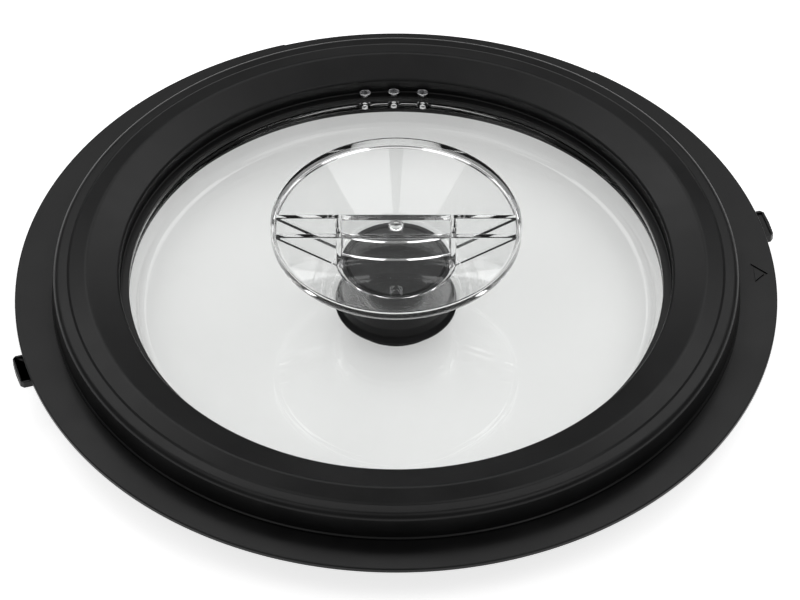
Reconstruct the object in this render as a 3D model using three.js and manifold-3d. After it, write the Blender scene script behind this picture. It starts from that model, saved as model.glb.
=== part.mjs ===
// Round cooker lid: black flange and bezel, pan-shaped glass window, central collar and clear lift-out cap.
// Millimetres, +Z up, origin at the centre of the ring the lid stands on. The cap's grip bar runs along X.
import * as THREE from "three";
import { mergeVertices } from "three/addons/utils/BufferGeometryUtils.js";
import Module from "manifold-3d";

const wasm = await Module();
wasm.setup();

// ---- driving dimensions ----
const SEG = 60;                  // facets round every large ring
const SEG_SMALL = 36;            // facets round the collar's rings
const GAP = 0.3;                 // clearance between neighbouring pieces
const R_LID = 150;               // flange outer radius
const Z_FLANGE = 20;             // flange top face
const T_FLANGE = 2;              // flange plate thickness
const R_SKIRT_IN = 129;          // locating skirt under the flange
const R_SKIRT_OUT = 131.5;
const R_SEAL_IN = 133;           // seal that lands on the bowl
const R_SEAL_OUT = 138;
const R_SEAT_IN = 109.5;         // ledge that carries the glass
const R_SEAT_OUT = 118;
const Z_SEAT = 15;
const T_SEAT = 2.5;
const R_BEZEL = 134.5;           // bezel outer wall
const R_CREASE = 128.6;          // step between the two outer bands
const R_CROWN = 121.4;           // highest line of the bezel
const R_LIP = 108.5;             // inner lip, above the ledge that holds the glass down
const R_LEDGE = 105;
const Z_BEZEL = 32;
const Z_CREASE = 32.6;
const Z_CROWN = 34.4;
const Z_LIP = 30.8;
const Z_LEDGE = 24.6;
const T_LEDGE = 2.2;
const T_BEZEL = 2.4;
const R_GLASS = 116.5;
const R_GLASS_HOLE = 16.6;
const R_PAN = 96;                // edge of the pan's nearly flat bottom
const Z_RIM = 21;                // glass top face at its flat rim
const Z_PAN = 10.8;              // the same at the hole in the middle
const PAN_RISE = 0.5;            // rise of the bottom from the hole to R_PAN
const T_GLASS = 3.5;
const R_FOOT = 24.2;             // collar foot on the glass
const R_COLLAR = 21.8;
const R_BORE = 19.8;
const Z_FOOT = 11.9;
const Z_COLLAR = 33.6;
const R_HUB_OUT = 16;            // tube through the glass, threaded for the nut
const R_HUB_IN = 13.6;
const R_HUB_FLANGE = 19.5;
const Z_HUB = 3.6;
const Z_HUB_FLANGE = 14.1;
const R_NUT = 19.4;
const NUT_NOTCHES = 16;
const R_CAP = 49;                // clear cap rim
const Z_CAP = 54.5;
const RIM_HEIGHT = 4.3;
const R_CUP = 23.6;              // cup in the middle of the cap
const R_CUP_IN = 21.6;
const Z_CUP = 35.9;              // flat floor of the cup
const T_CUP = 2;
const Z_BAR = 53.1;              // top of the grip bar
const BAR_HALF = 6.6;            // half its width
const BAR_WALL = 2.4;
const BAR_TOP = 1.8;
const BAR_DEEP = 12.8;           // depth of the walls at mid span
const BAR_SHALLOW = 9.6;         // depth where they meet the cup
const Z_PLUG = 25;               // foot of the plug that seals the collar
const SCREWS = 8;
const R_SCREWS = 124.6;
const TAB_RIGHT = 14.5;          // degrees from +X
const TAB_LEFT = 196.5;
const R_TAB = 154;
const TAB_WIDTH = 15;
const R_TAB_SCREW = 143;
const R_VENT = 106.7;
const VENT_SQUEEZE = 0.6;        // a vent is this much narrower towards the middle than it is long
const VENT_PITCH = 11.7;
const VENT_ANGLE = 90.5;         // degrees; middle vent
const VENT_STEP = 1.9;           // the slot through the glass lies this much further out, under the bezel

// ---- materials ----
const material = (name, color, roughness, metalness, more = {}) =>
  Object.assign(new THREE.MeshStandardMaterial({ color, roughness, metalness, ...more }), { name });
const blackPlastic = () => material("black_plastic", 0x1b1b1c, 0.5, 0);
const blackRubber = () => material("black_silicone", 0x161616, 0.75, 0);
const clearGlass = () => material("clear_glass", 0xdfe6e4, 0.05, 0, { transparent: true, opacity: 0.35 });
const clearPlastic = () => material("clear_plastic", 0xf2f4f5, 0.08, 0, { transparent: true, opacity: 0.4 });
const steel = () => material("steel", 0xb9bcc0, 0.3, 1);

// ---- solids ----
const RAD = Math.PI / 180;

function solid(geometry) {
  const bare = geometry.clone();
  bare.deleteAttribute("normal");
  bare.deleteAttribute("uv");
  const g = mergeVertices(bare, 1e-4);
  const index = g.index.array;
  const triVerts = [];
  for (let i = 0; i < index.length; i += 3) {
    const [a, b, c] = [index[i], index[i + 1], index[i + 2]];
    if (a !== b && b !== c && a !== c) triVerts.push(a, b, c);
  }
  const vertProperties = new Float32Array(g.attributes.position.array);
  const make = (list) =>
    new wasm.Manifold(new wasm.Mesh({ numProp: 3, vertProperties, triVerts: new Uint32Array(list) }));
  const first = make(triVerts);
  if (first.volume() > 0) return first;
  for (let i = 0; i < triVerts.length; i += 3) {
    [triVerts[i + 1], triVerts[i + 2]] = [triVerts[i + 2], triVerts[i + 1]];
  }
  return make(triVerts);
}

// A profile of [radius, height] pairs turned about Z; it closes on itself unless it ends on the axis.
function turned(profile, segments = SEG) {
  const points = profile.map(([r, z]) => new THREE.Vector2(r, z));
  const onAxis = profile[0][0] === 0 && profile[profile.length - 1][0] === 0;
  if (!onAxis) points.push(points[0].clone());
  return solid(new THREE.LatheGeometry(points, segments).rotateX(Math.PI / 2));
}

const ring = (rIn, rOut, z0, z1, segments = SEG) =>
  turned([[rIn, z0], [rOut, z0], [rOut, z1], [rIn, z1]], segments);

function pin(radius, z0, z1, x, y, segments = 20) {
  const g = new THREE.CylinderGeometry(radius, radius, z1 - z0, segments);
  return solid(g.rotateX(Math.PI / 2).translate(x, y, (z0 + z1) / 2));
}

const block = (x0, x1, y0, y1, z0, z1) =>
  solid(
    new THREE.BoxGeometry(x1 - x0, y1 - y0, z1 - z0).translate((x0 + x1) / 2, (y0 + y1) / 2, (z0 + z1) / 2),
  );

// A flat outline of [x, y] pairs, extruded from z0 to z1.
function plate(outline, z0, z1) {
  const shape = new THREE.Shape(outline.map(([x, y]) => new THREE.Vector2(x, y)));
  const g = new THREE.ExtrudeGeometry(shape, { depth: z1 - z0, bevelEnabled: false });
  return solid(g.translate(0, 0, z0));
}

const turn = (s, degrees) => s.rotate([0, 0, degrees]);
const polar = (radius, degrees) => [radius * Math.cos(degrees * RAD), radius * Math.sin(degrees * RAD)];

function mesh(name, s, look) {
  const m = s.getMesh();
  const g = new THREE.BufferGeometry();
  g.setAttribute("position", new THREE.BufferAttribute(new Float32Array(m.vertProperties), 3));
  g.setIndex(new THREE.BufferAttribute(new Uint32Array(m.triVerts), 1));
  const flat = g.toNonIndexed();
  flat.computeVertexNormals();
  const out = new THREE.Mesh(flat, look());
  out.name = name;
  return out;
}

const ventAngles = [-1, 0, 1].map((k) => VENT_ANGLE - (k * VENT_PITCH) / R_VENT / RAD);
const screwAngles = Array.from({ length: SCREWS }, (_, i) => (360 / SCREWS) * (i + 0.5));
const tabAngles = { right: TAB_RIGHT, left: TAB_LEFT };

// ---- sub-parts ----

// Flat flange with the ledge under the glass and the arrow mark.
function flangeRing() {
  const z = Z_FLANGE - T_FLANGE;
  let s = turned([
    [R_SEAT_IN, Z_SEAT - T_SEAT], [R_SEAT_OUT + 2.5, Z_SEAT - T_SEAT], [R_SEAT_OUT + 2.5, z],
    [R_LID, z], [R_LID, Z_FLANGE - 0.5], [R_LID - 0.5, Z_FLANGE],
    [R_SEAT_OUT, Z_FLANGE], [R_SEAT_OUT, Z_SEAT], [R_SEAT_IN, Z_SEAT],
  ]);
  // Shallow relief along the back edge.
  const relief = [];
  for (let a = 57; a <= 108; a += 3) relief.push(polar(R_LID - 0.8, a));
  for (let a = 108; a >= 57; a -= 3) relief.push(polar(R_LID + 4, a));
  s = s.subtract(plate(relief, z - 1, Z_FLANGE + 1));
  // Bosses that take the screws of the lock tabs.
  for (const a of Object.values(tabAngles)) {
    const [x, y] = polar(R_TAB_SCREW, a);
    s = s.add(pin(3, z - 3.6, z + 0.5, x, y, 16)).subtract(pin(1.5, z - 4, z - 0.6, x, y, 12));
  }
  // Screw holes under the bezel.
  for (const a of screwAngles) s = s.subtract(pin(1.9, z - 1, Z_FLANGE + 1, ...polar(R_SCREWS, a), 12));
  // Outline arrow pointing out, sunk into the top face.
  const arrow = plate([[140.6, -6], [147, 0], [140.6, 6]], Z_FLANGE - 0.5, Z_FLANGE + 1);
  const island = plate([[141.7, -3.6], [145.4, 0], [141.7, 3.6]], Z_FLANGE - 1, Z_FLANGE + 2);
  return s.subtract(turn(arrow.subtract(island), 2.8));
}

// Upright skirt fixed under the flange, which drops into the bowl and carries the lid when it is put down.
const skirtRing = () =>
  turned([
    [R_SKIRT_IN, 0], [R_SKIRT_OUT - 0.6, 0], [R_SKIRT_OUT, 0.8],
    [R_SKIRT_OUT, Z_FLANGE - T_FLANGE - GAP], [R_SKIRT_IN, Z_FLANGE - T_FLANGE - GAP],
  ]);

// Raised bezel, hollow from below, with bosses for its screws and vent slots through its inner ledge.
function bezelRing() {
  const z = Z_FLANGE + GAP;
  let s = turned([
    [R_BEZEL - T_BEZEL, z], [R_BEZEL + 0.9, z], [R_BEZEL + 0.4, z + 0.9],
    [R_BEZEL, Z_BEZEL - 1.4], [R_BEZEL - 0.4, Z_BEZEL - 0.4], [R_BEZEL - 1.4, Z_BEZEL],
    [R_CREASE, Z_CREASE], [R_CROWN, Z_CROWN], [R_LIP + 0.9, Z_LIP + 0.3], [R_LIP, Z_LIP - 0.7],
    [R_LIP, Z_LEDGE], [R_LEDGE, Z_LEDGE], [R_LEDGE, Z_LEDGE - T_LEDGE],
    [R_LIP + T_BEZEL, Z_LEDGE - T_LEDGE],
    [R_LIP + T_BEZEL, Z_LIP - T_BEZEL + 1],
    [R_CROWN, Z_CROWN - T_BEZEL], [R_CREASE, Z_CREASE - T_BEZEL], [R_BEZEL - T_BEZEL, Z_BEZEL - T_BEZEL],
  ]);
  for (const a of screwAngles) {
    const [x, y] = polar(R_SCREWS, a);
    s = s.add(pin(3.6, z, Z_BEZEL - 1, x, y, 12)).subtract(pin(1.9, z - 1, z + 7.5, x, y, 12));
  }
  for (const a of ventAngles) s = s.subtract(ventSlot(a, Z_LEDGE - T_LEDGE - 1, Z_LEDGE + 1));
  return s;
}

// Toughened glass, slumped into a shallow pan: nearly flat bottom, steep wall, flat rim under the bezel.
function glassWindow() {
  const under = Z_RIM - T_GLASS;
  const pan = Z_PAN + PAN_RISE;
  let s = turned([
    [R_GLASS_HOLE, Z_PAN - T_GLASS], [R_PAN, pan - T_GLASS], [R_PAN + 4.8, pan - T_GLASS + 0.6],
    [R_PAN + 6.8, pan - T_GLASS + 1.7], [R_PAN + 8.3, pan - 0.1], [R_PAN + 11.2, under - 0.3],
    [R_PAN + 11.8, under], [R_GLASS - 0.7, under], [R_GLASS, under + 0.7],
    [R_GLASS, Z_RIM - 0.7], [R_GLASS - 0.7, Z_RIM],
    [R_PAN + 10.6, Z_RIM], [R_PAN + 9.6, Z_RIM - 0.3], [R_PAN + 8.6, Z_RIM - 1.4],
    [R_PAN + 5.4, pan + 1.8], [R_PAN + 3.5, pan + 0.5], [R_PAN, pan], [R_GLASS_HOLE, Z_PAN],
  ]);
  for (const a of ventAngles) s = s.subtract(ventSlot(a, under - 4, Z_RIM + 1, VENT_STEP));
  return s;
}

// A turned piece about Z squeezed into a vent's oval and moved to the vent at this angle.
const toVent = (s, angle) => turn(s.scale([VENT_SQUEEZE, 1, 1]).translate([R_VENT, 0, 0]), angle);
const ventSlot = (angle, z0, z1, out = 0) =>
  toVent(pin(2.3, z0, z1, out / VENT_SQUEEZE, 0, 16), angle);

// Bright oval eyelet that lines one vent through the ledge and flares out above it.
function ventEyelet(angle) {
  const foot = Z_LEDGE - T_LEDGE;
  const top = Z_LEDGE + GAP;
  const s = turned(
    [
      [1.4, foot], [1.9, foot], [1.9, top], [2.05, top], [2.45, top + 1.1], [2.45, top + 1.4],
      [2.2, top + 1.6], [1.95, top + 1.4], [1.4, top + 0.2],
    ],
    20,
  );
  return toVent(s, angle);
}

function bezelGasket() {
  const s = ring(R_LEDGE + 0.8, R_LIP + 2, Z_RIM + GAP, Z_LEDGE - T_LEDGE - GAP);
  return ventAngles.reduce(
    (rest, a) => rest.subtract(ventSlot(a, Z_RIM, Z_LEDGE)).subtract(ventSlot(a, Z_RIM, Z_LEDGE, VENT_STEP)),
    s,
  );
}

const seatGasket = () => ring(R_SEAT_IN + 1.5, R_SEAT_OUT - 2, Z_SEAT + GAP, Z_RIM - T_GLASS - GAP);

// Flat silicone ring under the flange that lands on the rim of the bowl.
const potSeal = () =>
  ring(R_SEAL_IN, R_SEAL_OUT, Z_FLANGE - T_FLANGE - 2.6, Z_FLANGE - T_FLANGE - GAP);

// Pan-head screw pointing up, head face at z, with a cross recess.
function screw(headRadius, shankRadius, zHead, headHeight, length, x, y) {
  const zTop = zHead + headHeight;
  const head = turned(
    [[0, zHead], [headRadius - 0.6, zHead], [headRadius, zHead + 0.5], [headRadius, zTop], [0, zTop]],
    14,
  );
  const arm = headRadius * 0.55;
  const cross = block(-arm, arm, -0.45, 0.45, zHead - 1, zHead + 0.8)
    .add(block(-0.45, 0.45, -arm, arm, zHead - 1, zHead + 0.8));
  return head.add(pin(shankRadius, zTop - 0.2, zTop + length, 0, 0, 8)).subtract(cross).translate([x, y, 0]);
}

const bezelScrew = (angle) =>
  screw(3.2, 1.5, Z_FLANGE - T_FLANGE - GAP - 1.7, 1.7, 9, ...polar(R_SCREWS, angle));

const tabScrew = (angle) =>
  screw(4.4, 1.2, Z_FLANGE - T_FLANGE - 5.6, 1.7, 2.8, ...polar(R_TAB_SCREW, angle));

// Bayonet lug under the flange edge: a flat tongue with a raised rim round its outer end.
function lockTab(angle) {
  const w = TAB_WIDTH / 2;
  const z1 = Z_FLANGE - T_FLANGE - GAP;
  const z0 = z1 - 3.3;
  const outline = [
    [136.5 + 2, -w], [R_TAB - 1.6, -w], [R_TAB - 0.3, -w + 1.3], [R_TAB, 0],
    [R_TAB - 0.3, w - 1.3], [R_TAB - 1.6, w], [136.5 + 2, w],
  ];
  let s = plate(outline, z0, z1);
  s = s.subtract(pin(3.3, z0 - 1, z1 + 1, R_TAB_SCREW, 0));
  s = s.subtract(block(R_LID - 1.5, R_TAB - 1.1, -w + 1.1, w - 1.1, z1 - 0.8, z1 + 1));
  s = s.subtract(block(R_TAB - 1, R_TAB + 1, -w + 2.6, w - 2.6, z0 + 1, z1 - 1.6));
  return turn(s, angle);
}

// Black ring in the middle of the glass that the cap's plug drops into; it flares out onto the glass.
const collar = () =>
  turned([
    [R_BORE - 1, Z_FOOT], [R_FOOT - 0.3, Z_FOOT], [R_FOOT, Z_FOOT + 0.3], [R_FOOT - 0.3, Z_FOOT + 0.9],
    [R_COLLAR + 1.2, Z_FOOT + 1.9], [R_COLLAR + 0.5, Z_FOOT + 3.2], [R_COLLAR + 0.1, Z_FOOT + 4.8],
    [R_COLLAR, Z_FOOT + 6.5], [R_COLLAR, Z_COLLAR - 0.6], [R_COLLAR - 0.5, Z_COLLAR],
    [R_BORE + 0.5, Z_COLLAR], [R_BORE, Z_COLLAR - 0.6],
    [R_BORE, Z_HUB_FLANGE - GAP], [R_BORE - 1, Z_HUB_FLANGE - GAP],
  ], SEG_SMALL);

// Flanged tube that clamps the collar's foot down through the glass.
const collarHub = () =>
  turned([
    [R_HUB_IN, Z_HUB], [R_HUB_OUT - 0.5, Z_HUB], [R_HUB_OUT, Z_HUB + 0.5], [R_HUB_OUT, Z_HUB_FLANGE],
    [R_HUB_FLANGE, Z_HUB_FLANGE], [R_HUB_FLANGE, Z_HUB_FLANGE + 1.6], [R_HUB_FLANGE - 0.5, Z_HUB_FLANGE + 2],
    [R_HUB_IN + 0.5, Z_HUB_FLANGE + 2], [R_HUB_IN, Z_HUB_FLANGE + 1.5],
  ], SEG_SMALL);

const collarGasket = () => ring(R_HUB_OUT + 0.8, R_FOOT - 0.2, Z_PAN + 0.45, Z_FOOT - GAP, SEG_SMALL);

const collarWasher = () =>
  ring(R_HUB_OUT + 0.6, R_NUT, Z_PAN - T_GLASS - 1.1, Z_PAN - T_GLASS - GAP, SEG_SMALL);

// Round nut under the glass with finger notches; it pulls the hub down.
function collarNut() {
  const top = Z_PAN - T_GLASS - 1.4;
  const foot = Z_HUB + GAP;
  let s = turned([
    [R_HUB_OUT + GAP, foot], [R_NUT - 0.4, foot], [R_NUT, foot + 0.4], [R_NUT, top], [R_HUB_OUT + GAP, top],
  ], SEG_SMALL);
  for (let i = 0; i < NUT_NOTCHES; i++) {
    const [x, y] = polar(R_NUT + 0.4, (360 / NUT_NOTCHES) * (i + 0.5));
    s = s.subtract(pin(1, foot - 1, top + 1, x, y, 8));
  }
  return s;
}

// The clear cap is two pieces that move as one: a dish with a flat cup and a raised rim, and its grip bar.
const dishIn = R_CAP - 2.8;
const zRim = Z_CAP - RIM_HEIGHT;

const capDish = () =>
  turned([
    [0, Z_CUP - T_CUP], [R_CUP - 0.8, Z_CUP - T_CUP], [R_CUP + 1.2, Z_CUP + 0.2],
    [R_CAP - 2.1, zRim], [R_CAP - 0.4, zRim], [R_CAP, zRim + 0.4], [R_CAP, Z_CAP - 0.6],
    [R_CAP - 0.4, Z_CAP], [R_CAP - 0.8, Z_CAP - 0.3], [R_CAP - 1.7, Z_CAP - 1.4],
    [dishIn, zRim + 1.4], [R_CUP + 0.1, Z_CUP + 1.4], [R_CUP - 0.7, Z_CUP + 0.4], [R_CUP - 1.4, Z_CUP],
    [0, Z_CUP],
  ]);

function capGrip() {
  // Side view of one wall: level top, ends running down the dish, arched lower edge over the cup.
  const arch = [];
  for (let i = 0; i <= 8; i++) {
    const x = R_CUP_IN + 0.3 - ((R_CUP_IN + 0.3) * i) / 8;
    const u = x / R_CUP_IN;
    arch.push([x, Z_BAR - BAR_DEEP + (BAR_DEEP - BAR_SHALLOW) * u * u]);
  }
  const right = [[R_CAP, Z_BAR], [R_CAP, Z_CUP], [R_CUP_IN + 0.3, Z_CUP], ...arch];
  const left = right.slice(0, -1).map(([x, z]) => [-x, z]).reverse();
  const wall = plate([...right, ...left], 0, BAR_WALL).rotate([90, 0, 0]);
  const strip = block(-R_CAP, R_CAP, 0.5 - BAR_HALF, BAR_HALF - 0.5, Z_CUP, Z_BAR);
  const webs = ring(R_CUP_IN, R_CUP, Z_CUP, Z_BAR - 0.1).intersect(strip);
  const top = pin(R_CUP - 0.5, Z_BAR - BAR_TOP, Z_BAR, 0, 0, SEG).intersect(strip);
  // Room for the dish, which the bar follows GAP away.
  const dishRoom = turned([
    [0, Z_CUP - 1], [R_CAP + 5, Z_CUP - 1], [R_CAP + 5, Z_CAP + 1], [dishIn - GAP, Z_CAP + 1],
    [dishIn - GAP, zRim + 1.6], [R_CUP - 0.1, Z_CUP + 1.8], [R_CUP - 0.8, Z_CUP + 0.8],
    [R_CUP - 1.5, Z_CUP + GAP], [0, Z_CUP + GAP],
  ]);
  const nub = turned(
    [[0, Z_BAR - 0.5], [3, Z_BAR - 0.5], [2.9, Z_BAR + 0.4], [2.2, Z_BAR + 0.9], [0, Z_BAR + 1.1]],
    20,
  );
  return wall.translate([0, BAR_HALF, 0])
    .add(wall.translate([0, BAR_WALL - BAR_HALF, 0]))
    .add(webs)
    .add(top)
    .subtract(dishRoom)
    .add(nub);
}

// Ribbed silicone plug under the cap, hollow from below, that seals the collar.
const capPlug = () =>
  turned([
    [0, Z_CUP - T_CUP - 2.5], [R_BORE - 4, Z_CUP - T_CUP - 2.5], [R_BORE - 4, Z_PLUG], [R_BORE - 1, Z_PLUG],
    [R_BORE - 0.9, Z_PLUG + 1], [R_BORE - GAP, Z_PLUG + 2], [R_BORE - 0.9, Z_PLUG + 3],
    [R_BORE - 0.9, Z_PLUG + 4], [R_BORE - GAP, Z_PLUG + 5], [R_BORE - 0.9, Z_PLUG + 6],
    [R_BORE - 0.9, Z_CUP - T_CUP - GAP], [0, Z_CUP - T_CUP - GAP],
  ], SEG_SMALL);

// ---- assembly ----
const lid = new THREE.Group();
lid.name = "cooker_lid";
lid.add(mesh("flange_ring", flangeRing(), blackPlastic));
lid.add(mesh("skirt_ring", skirtRing(), blackPlastic));
lid.add(mesh("bezel_ring", bezelRing(), blackPlastic));
lid.add(mesh("glass_window", glassWindow(), clearGlass));
lid.add(mesh("bezel_gasket", bezelGasket(), blackRubber));
lid.add(mesh("seat_gasket", seatGasket(), blackRubber));
lid.add(mesh("pot_seal", potSeal(), blackRubber));
screwAngles.forEach((a, i) => lid.add(mesh("bezel_screw_" + (i + 1), bezelScrew(a), steel)));
for (const [side, a] of Object.entries(tabAngles)) {
  lid.add(mesh("lock_tab_" + side, lockTab(a), blackPlastic));
  lid.add(mesh("tab_screw_" + side, tabScrew(a), steel));
}
ventAngles.forEach((a, i) => lid.add(mesh("vent_eyelet_" + (i + 1), ventEyelet(a), steel)));
lid.add(mesh("collar", collar(), blackPlastic));
lid.add(mesh("collar_hub", collarHub(), blackPlastic));
lid.add(mesh("collar_gasket", collarGasket(), blackRubber));
lid.add(mesh("collar_washer", collarWasher(), blackRubber));
lid.add(mesh("collar_nut", collarNut(), blackPlastic));
lid.add(mesh("cap_dish", capDish(), clearPlastic));
lid.add(mesh("cap_grip", capGrip(), clearPlastic));
lid.add(mesh("cap_plug", capPlug(), blackRubber));

export default lid;
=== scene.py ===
import math

import bmesh
import bpy
from mathutils import Matrix, Vector


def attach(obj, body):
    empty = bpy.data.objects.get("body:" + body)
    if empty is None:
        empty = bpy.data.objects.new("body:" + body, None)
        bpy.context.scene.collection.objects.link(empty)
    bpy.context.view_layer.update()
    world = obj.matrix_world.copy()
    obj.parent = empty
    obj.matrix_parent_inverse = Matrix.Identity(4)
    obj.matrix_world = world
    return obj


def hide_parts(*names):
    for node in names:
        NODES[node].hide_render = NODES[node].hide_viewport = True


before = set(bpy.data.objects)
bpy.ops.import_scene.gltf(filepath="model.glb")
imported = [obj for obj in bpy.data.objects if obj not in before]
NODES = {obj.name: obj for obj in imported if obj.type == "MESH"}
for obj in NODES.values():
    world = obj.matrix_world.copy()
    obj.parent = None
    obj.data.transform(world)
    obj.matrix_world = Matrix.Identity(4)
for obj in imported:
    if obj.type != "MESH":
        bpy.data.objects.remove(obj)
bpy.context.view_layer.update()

MM = 0.001
RING = 256          # steps round the large turned pieces
SMALL = 160         # steps round the collar's pieces

DATUM = 6.0         # heights in this file start this many millimetres below the resting plane

# ---- dimensions in millimetres, heights from DATUM ----
Z_FLANGE = 26.0
R_LIP = 108.5
Z_LEDGE = 30.6
Z_RIM = 27.0
Z_PAN = 16.8
PAN_RISE = 0.5
R_PAN = 96.0
T_GLASS = 3.5
R_VENT = 106.7
VENT_PITCH = 11.7
VENT_ANGLE = 90.5
VENT_SQUEEZE = 0.6
VENT_STEP = 1.9         # how much further out the vents are under the ledge
TAB_ANGLES = (14.5, 196.5)
Z_CAP = 60.49
Z_CUP = 41.9
Z_BAR = 59.1
BAR_HALF = 6.6
BAR_WALL = 2.4


# ---------------------------------------------------------------- mesh helpers
def new_object(name, mesh):
    obj = bpy.data.objects.new(name, mesh)
    bpy.context.scene.collection.objects.link(obj)
    return obj


def arc_corner(p, c, q, radius, steps):
    """Points of a fillet of this radius at corner c, between neighbours p and q."""
    v1 = (Vector(p) - Vector(c)).normalized()
    v2 = (Vector(q) - Vector(c)).normalized()
    cos_a = max(-1.0, min(1.0, v1.dot(v2)))
    half = math.acos(cos_a) / 2
    if radius <= 0 or half > math.radians(88) or half < math.radians(4):
        return [tuple(c)]
    reach = radius / math.tan(half)
    limit = 0.48 * min((Vector(p) - Vector(c)).length, (Vector(q) - Vector(c)).length)
    if reach > limit:
        reach = limit
        radius = reach * math.tan(half)
    centre = Vector(c) + (v1 + v2).normalized() * (radius / math.sin(half))
    start = Vector(c) + v1 * reach - centre
    end = Vector(c) + v2 * reach - centre
    a0 = math.atan2(start.y, start.x)
    turn = math.atan2(end.y, end.x) - a0
    while turn > math.pi:
        turn -= 2 * math.pi
    while turn < -math.pi:
        turn += 2 * math.pi
    return [
        (centre.x + radius * math.cos(a0 + turn * i / steps),
         centre.y + radius * math.sin(a0 + turn * i / steps))
        for i in range(steps + 1)
    ]


def rounded(points, steps=5):
    """A closed profile of (a, b, fillet radius) corners as plain (a, b) points."""
    out = []
    n = len(points)
    for i, (a, b, fillet) in enumerate(points):
        p, q = points[i - 1], points[(i + 1) % n]
        out.extend(arc_corner(p[:2], (a, b), q[:2], fillet, steps))
    return out


def finish_mesh(obj, angle=32):
    """Smooth shading with sharp edges above this angle."""
    mesh = obj.data
    bm = bmesh.new()
    bm.from_mesh(mesh)
    bmesh.ops.remove_doubles(bm, verts=bm.verts, dist=1e-7)
    bmesh.ops.recalc_face_normals(bm, faces=bm.faces)
    bm.to_mesh(mesh)
    bm.free()
    mesh.shade_smooth()
    mesh.set_sharp_from_angle(angle=math.radians(angle))
    mod = obj.modifiers.new("weighted", "WEIGHTED_NORMAL")
    mod.keep_sharp = True
    return obj


def turned(name, profile, steps=RING, finish=True):
    """A closed profile of (radius, height) points in millimetres, turned about Z."""
    verts, rows = [], []
    for r, z in profile:
        if r < 1e-6:
            rows.append([len(verts)])
            verts.append((0, 0, (z - DATUM) * MM))
        else:
            rows.append([len(verts) + k for k in range(steps)])
            for k in range(steps):
                a = 2 * math.pi * k / steps
                verts.append((r * MM * math.cos(a), r * MM * math.sin(a), (z - DATUM) * MM))
    faces = []
    for i, row in enumerate(rows):
        nxt = rows[(i + 1) % len(rows)]
        if len(row) == 1 and len(nxt) == 1:
            continue
        for k in range(steps):
            j = (k + 1) % steps
            if len(row) == 1:
                faces.append((row[0], nxt[j], nxt[k]))
            elif len(nxt) == 1:
                faces.append((row[k], row[j], nxt[0]))
            else:
                faces.append((row[k], row[j], nxt[j], nxt[k]))
    mesh = bpy.data.meshes.new(name)
    mesh.from_pydata(verts, [], faces)
    obj = new_object(name, mesh)
    bm = bmesh.new()
    bm.from_mesh(mesh)
    bmesh.ops.recalc_face_normals(bm, faces=bm.faces)
    bm.to_mesh(mesh)
    bm.free()
    return finish_mesh(obj) if finish else obj


def prism(name, outline, z0, z1):
    """A flat outline of (x, y) points in millimetres, extruded from z0 to z1."""
    bm = bmesh.new()
    low = [bm.verts.new((x * MM, y * MM, (z0 - DATUM) * MM)) for x, y in outline]
    high = [bm.verts.new((x * MM, y * MM, (z1 - DATUM) * MM)) for x, y in outline]
    bm.faces.new(low[::-1])
    bm.faces.new(high)
    n = len(outline)
    for i in range(n):
        bm.faces.new((low[i], low[(i + 1) % n], high[(i + 1) % n], high[i]))
    bmesh.ops.recalc_face_normals(bm, faces=bm.faces)
    mesh = bpy.data.meshes.new(name)
    bm.to_mesh(mesh)
    bm.free()
    return new_object(name, mesh)


def box(name, x0, x1, y0, y1, z0, z1):
    return prism(name, [(x0, y0), (x1, y0), (x1, y1), (x0, y1)], z0, z1)


def boolean(obj, tool, operation):
    """Applies one exact boolean and drops the tool."""
    mod = obj.modifiers.new("cut", "BOOLEAN")
    mod.operation = operation
    mod.solver = "EXACT"
    mod.object = tool
    bpy.context.view_layer.update()
    deps = bpy.context.evaluated_depsgraph_get()
    mesh = bpy.data.meshes.new_from_object(obj.evaluated_get(deps))
    obj.modifiers.clear()
    old = obj.data
    obj.data = mesh
    mesh.name = old.name
    bpy.data.meshes.remove(old)
    old_tool = tool.data
    bpy.data.objects.remove(tool)
    bpy.data.meshes.remove(old_tool)
    return obj


def turn_z(obj, degrees):
    obj.data.transform(Matrix.Rotation(math.radians(degrees), 4, "Z"))
    return obj


def shift(obj, x, y, z):
    obj.data.transform(Matrix.Translation((x * MM, y * MM, z * MM)))
    return obj


# ---------------------------------------------------------------- materials
NOISE_LOW, NOISE_HIGH = 0.35, 0.65      # stretch of a noise texture's values that is used


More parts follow.
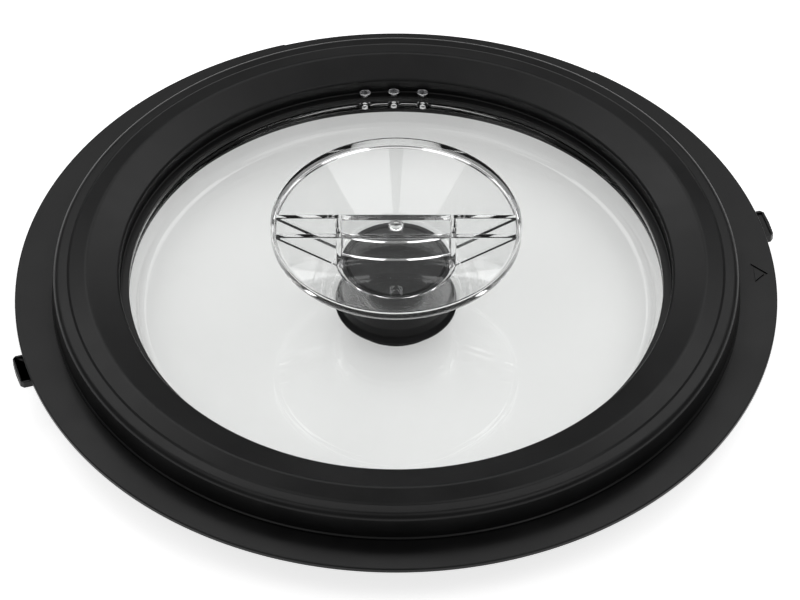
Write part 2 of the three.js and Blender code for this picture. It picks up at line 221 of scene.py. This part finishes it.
class Look:
    """One procedural material: nodes are added round a Principled shader."""

    def __init__(self, name):
        self.material = bpy.data.materials.new(name)
        self.material.use_nodes = True
        self.tree = self.material.node_tree
        self.tree.nodes.clear()
        self.out = self.add("ShaderNodeOutputMaterial")
        self.shader = self.add("ShaderNodeBsdfPrincipled")
        self.link(self.shader.outputs[0], self.out.inputs["Surface"])
        self.coords = self.add("ShaderNodeTexCoord").outputs["Object"]

    def add(self, kind, **values):
        node = self.tree.nodes.new(kind)
        for key, value in values.items():
            setattr(node, key, value)
        return node

    def link(self, a, b):
        self.tree.links.new(a, b)

    def set(self, **values):
        for key, value in values.items():
            self.shader.inputs[key.replace("_", " ")].default_value = value
        return self

    def noise(self, scale, detail=3.0, rough=0.55):
        node = self.add("ShaderNodeTexNoise")
        node.inputs["Scale"].default_value = scale
        node.inputs["Detail"].default_value = detail
        node.inputs["Roughness"].default_value = rough
        self.link(self.coords, node.inputs["Vector"])
        return node.outputs["Fac"]

    def ramp(self, source, low, high):
        node = self.add("ShaderNodeMapRange")
        node.inputs["From Min"].default_value = NOISE_LOW
        node.inputs["From Max"].default_value = NOISE_HIGH
        node.inputs["To Min"].default_value = low
        node.inputs["To Max"].default_value = high
        self.link(source, node.inputs["Value"])
        return node.outputs[0]

    def colours(self, source, dark, light):
        node = self.add("ShaderNodeValToRGB")
        node.color_ramp.elements[0].position = NOISE_LOW
        node.color_ramp.elements[0].color = (*dark, 1)
        node.color_ramp.elements[1].position = NOISE_HIGH
        node.color_ramp.elements[1].color = (*light, 1)
        self.link(source, node.inputs[0])
        return node.outputs["Color"]

    def bump(self, source, strength, distance, previous=None):
        node = self.add("ShaderNodeBump")
        node.inputs["Strength"].default_value = strength
        node.inputs["Distance"].default_value = distance
        self.link(source, node.inputs["Height"])
        if previous is not None:
            self.link(previous, node.inputs["Normal"])
        return node.outputs[0]

    def to(self, source, socket):
        self.link(source, self.shader.inputs[socket])
        return self

    def let_lamps_through(self, tint):
        """Rays from lamps pass straight through, so that what is behind is lit."""
        clear = self.add("ShaderNodeBsdfTransparent")
        clear.inputs["Color"].default_value = (*tint, 1)
        path = self.add("ShaderNodeLightPath")
        mix = self.add("ShaderNodeMixShader")
        self.link(path.outputs["Is Shadow Ray"], mix.inputs[0])
        self.link(self.shader.outputs[0], mix.inputs[1])
        self.link(clear.outputs[0], mix.inputs[2])
        self.link(mix.outputs[0], self.out.inputs["Surface"])
        return self


def black_plastic():
    look = Look("black_moulded_plastic").set(IOR=1.5, Specular_IOR_Level=0.25)
    grain = look.noise(5200, 2, 0.5)
    cloud = look.noise(38, 4, 0.6)
    look.to(look.colours(cloud, (0.0040, 0.0040, 0.0042), (0.0062, 0.0062, 0.0064)), "Base Color")
    mix = look.add("ShaderNodeMath", operation="ADD")
    look.link(look.ramp(cloud, 0.31, 0.38), mix.inputs[0])
    look.link(look.ramp(grain, -0.02, 0.03), mix.inputs[1])
    look.to(mix.outputs[0], "Roughness")
    coarse = look.bump(look.noise(900, 2, 0.5), 0.05, 0.0001)
    look.to(look.bump(grain, 0.10, 0.00006, coarse), "Normal")
    return look.material


def black_silicone():
    look = Look("black_silicone").set(IOR=1.42)
    cloud = look.noise(60, 3)
    look.to(look.colours(cloud, (0.008, 0.008, 0.008), (0.016, 0.016, 0.016)), "Base Color")
    look.to(look.ramp(look.noise(700, 3), 0.55, 0.75), "Roughness")
    look.to(look.bump(look.noise(2600, 2), 0.15, 0.0001), "Normal")
    return look.material


def window_glass():
    look = Look("toughened_glass").set(Transmission_Weight=1.0, IOR=1.5)
    # painted shade: the glass's grey tint darkens the evenly glowing floor seen through the window, standing
    # in for the shade under the lid
    look.to(look.colours(look.noise(9, 2), (0.625, 0.63, 0.625), (0.655, 0.66, 0.655)), "Base Color")
    look.to(look.ramp(look.noise(45, 4), 0.0, 0.02), "Roughness")
    look.to(look.bump(look.noise(14, 1), 0.012, 0.001), "Normal")
    return look.let_lamps_through((0.74, 0.745, 0.74)).material


def clear_plastic():
    look = Look("clear_moulded_plastic").set(Transmission_Weight=1.0, IOR=1.49)
    look.to(look.colours(look.noise(30, 2), (0.975, 0.98, 0.98), (0.99, 0.99, 0.99)), "Base Color")
    look.to(look.ramp(look.noise(260, 4), 0.0, 0.03), "Roughness")
    look.to(look.bump(look.noise(60, 1), 0.01, 0.001), "Normal")
    return look.let_lamps_through((0.95, 0.955, 0.955)).material


def bright_steel():
    look = Look("bright_steel").set(Metallic=1.0)
    wear = look.noise(420, 4)
    look.to(look.colours(wear, (0.52, 0.52, 0.53), (0.72, 0.72, 0.73)), "Base Color")
    look.to(look.ramp(look.noise(1500, 3), 0.16, 0.32), "Roughness")
    look.to(look.bump(look.noise(3200, 2), 0.12, 0.00005), "Normal")
    return look.material


def pale_floor():
    look = Look("pale_floor").set(Roughness=0.7, Emission_Color=(1, 1, 1, 1), Emission_Strength=0.75)
    cloud = look.noise(2.2, 3)
    look.to(look.colours(cloud, (0.86, 0.86, 0.86), (0.89, 0.89, 0.89)), "Base Color")
    look.to(look.bump(look.noise(150, 3), 0.02, 0.0005), "Normal")
    return look.material


MATERIALS = {
    "black_plastic": black_plastic(),
    "black_silicone": black_silicone(),
    "clear_glass": window_glass(),
    "clear_plastic": clear_plastic(),
    "steel": bright_steel(),
}


def dress(obj, slot):
    obj.data.materials.clear()
    obj.data.materials.append(MATERIALS[slot])
    return obj


def stands_for(obj, nodes, slot, body="lid"):
    """A finished piece that takes the place of one or more CAD nodes."""
    dress(obj, slot)
    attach(obj, body)
    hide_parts(*([nodes] if isinstance(nodes, str) else nodes))
    return obj


# ---------------------------------------------------------------- turned pieces of the lid
def flange():
    z0 = Z_FLANGE - 2
    obj = turned("flange", rounded([
        (109.5, 18.5, 0.5), (120.5, 18.5, 0.5), (120.5, z0, 0.3), (150, z0, 0.45),
        (150, Z_FLANGE, 0.6), (118, Z_FLANGE, 0.3), (118, 21, 0.3), (109.5, 21, 0.4),
    ]), finish=False)
    relief = [(149.2 * math.cos(math.radians(a)), 149.2 * math.sin(math.radians(a))) for a in range(57, 109)]
    relief += [(154 * math.cos(math.radians(a)), 154 * math.sin(math.radians(a))) for a in range(108, 56, -1)]
    boolean(obj, prism("relief", relief, z0 - 1, Z_FLANGE + 1), "DIFFERENCE")
    arrow = prism("arrow", [(140.6, -6), (147, 0), (140.6, 6)], Z_FLANGE - 0.5, Z_FLANGE + 1)
    island = prism("island", [(141.7, -3.6), (145.4, 0), (141.7, 3.6)], Z_FLANGE - 1, Z_FLANGE + 2)
    boolean(arrow, island, "DIFFERENCE")
    boolean(obj, turn_z(arrow, 2.8), "DIFFERENCE")
    for angle in TAB_ANGLES:
        boss = turned("boss", [(0, z0 - 3.6), (3, z0 - 3.6), (3, z0 + 0.5), (0, z0 + 0.5)], 40, finish=False)
        boolean(obj, turn_z(shift(boss, 143, 0, 0), angle), "UNION")
    return stands_for(finish_mesh(obj), "flange_ring", "black_plastic")


def to_vent(obj, k, out=0.0):
    """Squeezes a piece turned about Z into a vent's oval and moves it to vent k."""
    obj.data.transform(Matrix.Diagonal((VENT_SQUEEZE, 1, 1, 1)))
    return turn_z(shift(obj, R_VENT + out, 0, 0), VENT_ANGLE - math.degrees(k * VENT_PITCH / R_VENT))


def cut_vents(obj, z0, z1, out=0.0):
    for k in (-1, 0, 1):
        slot = turned("slot", [(0, z0), (2.3, z0), (2.3, z1), (0, z1)], 48, finish=False)
        boolean(obj, to_vent(slot, k, out), "DIFFERENCE")
    return obj


def bezel():
    z = Z_FLANGE + 0.3
    under = Z_LEDGE - 2.2
    obj = turned("bezel", rounded([
        (132.1, z, 0), (135.4, z, 0.25), (135.4, z + 0.45, 0.25), (134.8, z + 0.9, 0.4),
        (134.5, 38.0, 2.7), (129.0, 38.45, 1.0), (128.1, 38.95, 1.0), (121.4, 40.4, 4.0),
        (109.2, 37.1, 1.2), (R_LIP, 36.4, 0.7), (R_LIP, Z_LEDGE, 0.6), (105, Z_LEDGE, 0.45),
        (105, under, 0.3), (110.9, under, 0.3), (110.9, 35.4, 0.5), (121.4, 38, 1), (128.6, 36.2, 1),
        (132.1, 35.6, 1),
    ], 6), finish=False)
    cut_vents(obj, under - 1, Z_LEDGE + 1)
    return stands_for(finish_mesh(obj), "bezel_ring", "black_plastic")


def pan_top(r):
    """Height of the glass pan's nearly flat bottom at radius r."""
    return Z_PAN + 0.2 * min(r, 80) / 80 + (PAN_RISE - 0.2) * (max(r - 80, 0) / (R_PAN - 80)) ** 2


def glass():
    under = Z_RIM - T_GLASS
    bottom = [16.6 + (R_PAN - 16.6) * i / 20 for i in range(21)]
    low = [(r, pan_top(r) - T_GLASS, 0.6 if r < 17 else 0) for r in bottom]
    high = [(r, pan_top(r), 0.6 if r < 17 else 0) for r in reversed(bottom)]
    edge = pan_top(R_PAN)
    obj = turned("window", rounded([
        *low, (102.9, edge - T_GLASS + 0.3, 7.5), (107.4, under, 2), (116.5, under, 0.7), (116.5, Z_RIM, 0.7),
        (105.53, Z_RIM, 1.5), (100.9, edge + 0.3, 5), *high,
    ], 9), finish=False)
    cut_vents(obj, under - 4, Z_RIM + 1, VENT_STEP)
    return stands_for(finish_mesh(obj, 40), "glass_window", "clear_glass")


def eyelets():
    foot, top = Z_LEDGE - 2.2, Z_LEDGE + 0.3
    for k in (-1, 0, 1):
        obj = turned("eyelet_%d" % (k + 2), rounded([
            (1.4, foot, 0.1), (1.9, foot, 0.1), (1.9, top + 0.1, 0.3), (2.45, top + 1.2, 0.2),
            (2.35, top + 1.6, 0.15), (2.1, top + 1.5, 0.15), (1.5, top + 0.3, 0.6),
        ]), 48)
        stands_for(to_vent(obj, k), "vent_eyelet_%d" % (k + 2), "steel")


def ring_piece(name, nodes, slot, profile, steps=RING, body="lid"):
    return stands_for(turned(name, rounded(profile), steps), nodes, slot, body)


def rings():
    """Skirt, seals, collar and washers."""
    ring_piece("skirt", "skirt_ring", "black_plastic", [
        (129, DATUM + 0.01, 0.6), (131.2, DATUM + 0.01, 0.8), (131.5, DATUM + 1.2, 0.8),
        (131.5, 23.7, 0.3), (129, 23.7, 0.3)])
    seal = turned("bezel_seal", rounded([
        (105.8, 27.3, 0.2), (110.5, 27.3, 0.2), (110.5, 28.1, 0.2), (105.8, 28.1, 0.2)]), finish=False)
    cut_vents(seal, Z_RIM, Z_LEDGE, VENT_STEP)
    stands_for(finish_mesh(cut_vents(seal, Z_RIM, Z_LEDGE)), "bezel_gasket", "black_silicone")
    ring_piece("seat_seal", "seat_gasket", "black_silicone", [
        (111, 21.3, 0.3), (116, 21.3, 0.3), (116, 23.2, 0.3), (111, 23.2, 0.3)])
    ring_piece("rim_seal", "pot_seal", "black_silicone", [
        (133, 21.4, 0.4), (134.6, 21.4, 0.3), (135, 21.8, 0.2), (136, 21.8, 0.2), (136.4, 21.4, 0.3),
        (138, 21.4, 0.4), (138, 23.7, 0.3), (133, 23.7, 0.3)])
    ring_piece("neck_collar", "collar", "black_plastic", [
        (18.8, 17.9, 0.2), (24.2, 17.9, 0.3), (24.1, 18.5, 0.4), (22.6, 20.0, 2.0), (21.8, 23.5, 4),
        (21.8, 39.6, 0.6), (19.8, 39.6, 0.5), (19.8, 19.8, 0.2), (18.8, 19.8, 0.2)], SMALL)
    ring_piece("hub_tube", "collar_hub", "black_plastic", [
        (13.6, 9.6, 0.4), (16, 9.6, 0.4), (16, 20.1, 0.2), (19.5, 20.1, 0.3), (19.5, 22.1, 0.5),
        (13.6, 22.1, 0.6)], SMALL)
    ring_piece("collar_pad", "collar_gasket", "black_silicone", [
        (16.8, 17.25, 0.1), (24.0, 17.25, 0.15), (24.0, 17.6, 0.15), (16.8, 17.6, 0.1)], SMALL)
    ring_piece("washer", "collar_washer", "black_silicone", [
        (16.6, 12.2, 0.2), (19.4, 12.2, 0.3), (19.4, 13.0, 0.2), (16.6, 13.0, 0.2)], SMALL)
    ring_piece("cap_stopper", "cap_plug", "black_silicone", [
        (0, 37.4, 0), (15.8, 37.4, 0.5), (15.8, 31, 0.5), (18.8, 31, 0.5), (18.9, 32, 0.2), (19.5, 33, 0.35),
        (18.9, 34, 0.2), (18.9, 35, 0.2), (19.5, 36, 0.35), (18.9, 37, 0.2), (18.9, 39.6, 0.3), (0, 39.6, 0)],
        SMALL, "cap_carrier")


def softened(node, name, slot, width):
    """A copy of a CAD node with its edges rounded off."""
    mesh = NODES[node].data.copy()
    obj = new_object(name, mesh)
    bm = bmesh.new()
    bm.from_mesh(mesh)
    bmesh.ops.remove_doubles(bm, verts=bm.verts, dist=2e-6)
    bmesh.ops.dissolve_limit(bm, angle_limit=math.radians(2), verts=bm.verts, edges=bm.edges)
    edges = [e for e in bm.edges if len(e.link_faces) == 2 and e.calc_face_angle(0) > math.radians(32)]
    bmesh.ops.bevel(bm, geom=edges, offset=width * MM, segments=3, profile=0.5, affect="EDGES",
                    clamp_overlap=True)
    bm.to_mesh(mesh)
    bm.free()
    finish_mesh(obj, 35)
    return stands_for(obj, node, slot)


# ---------------------------------------------------------------- clear cap
def dish_top(r):
    """Height of the dish's upper face at radius r."""
    return 43.3 + (r - 23.7) * (57.6 - 43.3) / (46.2 - 23.7)


def bar_wall(side):
    """One upright wall of the grip bar, swept along X: it runs down the dish and arches over the cup."""
    stations = [-46.7 + 0.9 * i for i in range(25)]
    stations += [-24.3, -23.8, -23.3, -22.9, -22.3, -21.8]
    stations += [-21.4 + 21.4 * i / 18 for i in range(19)]
    stations += [-x for x in stations[:-1]][::-1]

    def foot(x):
        x = abs(x)
        arch = Z_BAR - 12.8 + 3.2 * (x / 21.6) ** 2
        deep = dish_top(max(x, 24.3)) - 0.9
        if x <= 21.4:
            return arch
        if x >= 23.3:
            return deep
        t = (x - 21.4) / (23.3 - 21.4)
        return arch + (deep - arch) * t * t * (3 - 2 * t)

    outer, inner = side * BAR_HALF, side * (BAR_HALF - BAR_WALL)
    rows = []
    for x in stations:
        z = foot(x)
        section = rounded([(outer, z, 0.25), (outer, Z_BAR, 0.6), (inner, Z_BAR, 0.5), (inner, z, 0.25)], 5)
        rows.append([(x * MM, y * MM, (v - DATUM) * MM) for y, v in section])
    n = len(rows[0])
    verts = [v for row in rows for v in row]
    faces = [tuple(range(n)), tuple((len(rows) - 1) * n + i for i in range(n))[::-1]]
    for i in range(len(rows) - 1):
        for k in range(n):
            j = (k + 1) % n
            faces.append((i * n + k, i * n + j, (i + 1) * n + j, (i + 1) * n + k))
    mesh = bpy.data.meshes.new("bar")
    mesh.from_pydata(verts, [], faces)
    obj = new_object("bar", mesh)
    bm = bmesh.new()
    bm.from_mesh(mesh)
    bmesh.ops.recalc_face_normals(bm, faces=bm.faces)
    bmesh.ops.triangulate(bm, faces=[f for f in bm.faces if len(f.verts) > 4])
    bm.to_mesh(mesh)
    bm.free()
    return obj


def cup_arc(side, half, r_in, r_out):
    """Outline of a stretch of the cup's wall, this far each way from X."""
    steps = 14
    inner, outer = [], []
    for i in range(steps + 1):
        t = -1 + 2 * i / steps
        a, b = t * math.asin(half / r_in), t * math.asin(half / r_out)
        inner.append((side * r_in * math.cos(a), side * r_in * math.sin(a)))
        outer.append((side * r_out * math.cos(b), side * r_out * math.sin(b)))
    return inner + outer[::-1]


def bar_top():
    """Plate between the walls, over the cup only."""
    half, edge = BAR_HALF - 0.5, 23.1
    ends = [math.asin(half / edge) * (-1 + 2 * i / 12) for i in range(13)]
    outline = [(edge * math.cos(a), edge * math.sin(a)) for a in ends]
    outline += [(-edge * math.cos(a), -edge * math.sin(a)) for a in ends]
    return prism("top", outline, Z_BAR - 1.8, Z_BAR - 0.05)


def cap():
    body = turned("clear_cap", rounded([
        (0, 39.9, 0), (22.8, 39.9, 0.5), (24.8, 42.1, 0.8), (46.9, 56.2, 0.4),
        (49, 56.2, 0.5), (49, Z_CAP, 0.3), (48.5, Z_CAP, 0.25), (46.9, 58.1, 3),
        (23.7, 43.3, 0.6), (22.6, Z_CUP, 0.7), (12, Z_CUP, 0), (0, Z_CUP, 0),
    ], 6), RING, finish=False)
    for side in (-1, 1):
        boolean(body, bar_wall(side), "UNION")
        boolean(body, prism("web", cup_arc(side, BAR_HALF - 0.5, 21.6, 23.6), 40.9, Z_BAR - 0.3), "UNION")
    boolean(body, bar_top(), "UNION")
    nub = turned("nub", rounded([
        (0, Z_BAR - 0.8, 0), (3, Z_BAR - 0.8, 0), (3, Z_BAR + 0.9, 0.7), (1.2, Z_BAR + 1.1, 0.8),
        (0, Z_BAR + 0.95, 0),
    ]), 48, finish=False)
    boolean(body, nub, "UNION")
    finish_mesh(body, 38)
    return stands_for(body, ("cap_dish", "cap_grip"), "clear_plastic", "cap")


flange()
bezel()
glass()
eyelets()
rings()
cap()
for side in ("left", "right"):
    softened("lock_tab_" + side, "tab_" + side, "black_plastic", 0.3)
    softened("tab_screw_" + side, "tab_fixing_" + side, "steel", 0.2)
for i in range(1, 9):
    softened("bezel_screw_%d" % i, "bezel_fixing_%d" % i, "steel", 0.2)
softened("collar_nut", "finger_nut", "black_plastic", 0.35)

# ---------------------------------------------------------------- floor, light, camera
floor_mesh = bpy.data.meshes.new("floor")
floor_mesh.from_pydata([(-6, -6, 0), (6, -6, 0), (6, 6, 0), (-6, 6, 0)], [], [(0, 1, 2, 3)])
floor = new_object("floor", floor_mesh)
floor.data.materials.append(pale_floor())


def soft_light(name, place, aim, width, height, power):
    light = bpy.data.lights.new(name, "AREA")
    light.shape = "RECTANGLE"
    light.size = width
    light.size_y = height
    light.energy = power
    obj = bpy.data.objects.new(name, light)
    bpy.context.scene.collection.objects.link(obj)
    obj.location = place
    obj.rotation_euler = (Vector(aim) - Vector(place)).to_track_quat("-Z", "Y").to_euler()


soft_light("back_left", (-0.765, 1.16, 1.72), (-0.03, 0, 0), 1.5, 0.85, 8.6)
soft_light("back_right", (0.765, 1.16, 1.72), (0.03, 0, 0), 1.5, 0.85, 8.0)
soft_light("front_left", (-0.95, -0.6, 2.2), (0, 0, 0), 1.35, 1.3, 6.5)
soft_light("front_right", (0.95, -0.6, 2.2), (0, 0, 0), 1.35, 1.3, 9)

world = bpy.data.worlds.new("studio")
bpy.context.scene.world = world
world.use_nodes = True
world.node_tree.nodes["Background"].inputs["Color"].default_value = (1, 1, 1, 1)
world.node_tree.nodes["Background"].inputs["Strength"].default_value = 0.22

ELEVATION = math.radians(44.72)
DISTANCE = 1.969
LENS = 225.0            # on a sensor 36 mm wide
SHIFT = (0.004875, -0.017125)       # parts of the picture's width
TARGET = Vector((0, 0, (Z_FLANGE - DATUM) * MM))
camera_data = bpy.data.cameras.new("camera")
camera_data.sensor_fit = "HORIZONTAL"
camera_data.sensor_width = 36.0
camera_data.lens = LENS
camera_data.shift_x, camera_data.shift_y = SHIFT
camera_data.clip_start = 0.05
camera_data.clip_end = 30
camera = bpy.data.objects.new("camera", camera_data)
bpy.context.scene.collection.objects.link(camera)
camera.location = TARGET + DISTANCE * Vector((0, -math.cos(ELEVATION), math.sin(ELEVATION)))
camera.rotation_euler = (math.pi / 2 - ELEVATION, 0, 0)
bpy.context.scene.camera = camera

scene = bpy.context.scene
scene.view_settings.view_transform = "Standard"
scene.view_settings.look = "None"
scene.view_settings.exposure = 0.0
scene.cycles.max_bounces = 24
scene.cycles.transmission_bounces = 20
scene.cycles.transparent_max_bounces = 24
scene.cycles.glossy_bounces = 8
scene.cycles.diffuse_bounces = 4
scene.cycles.use_denoising = True
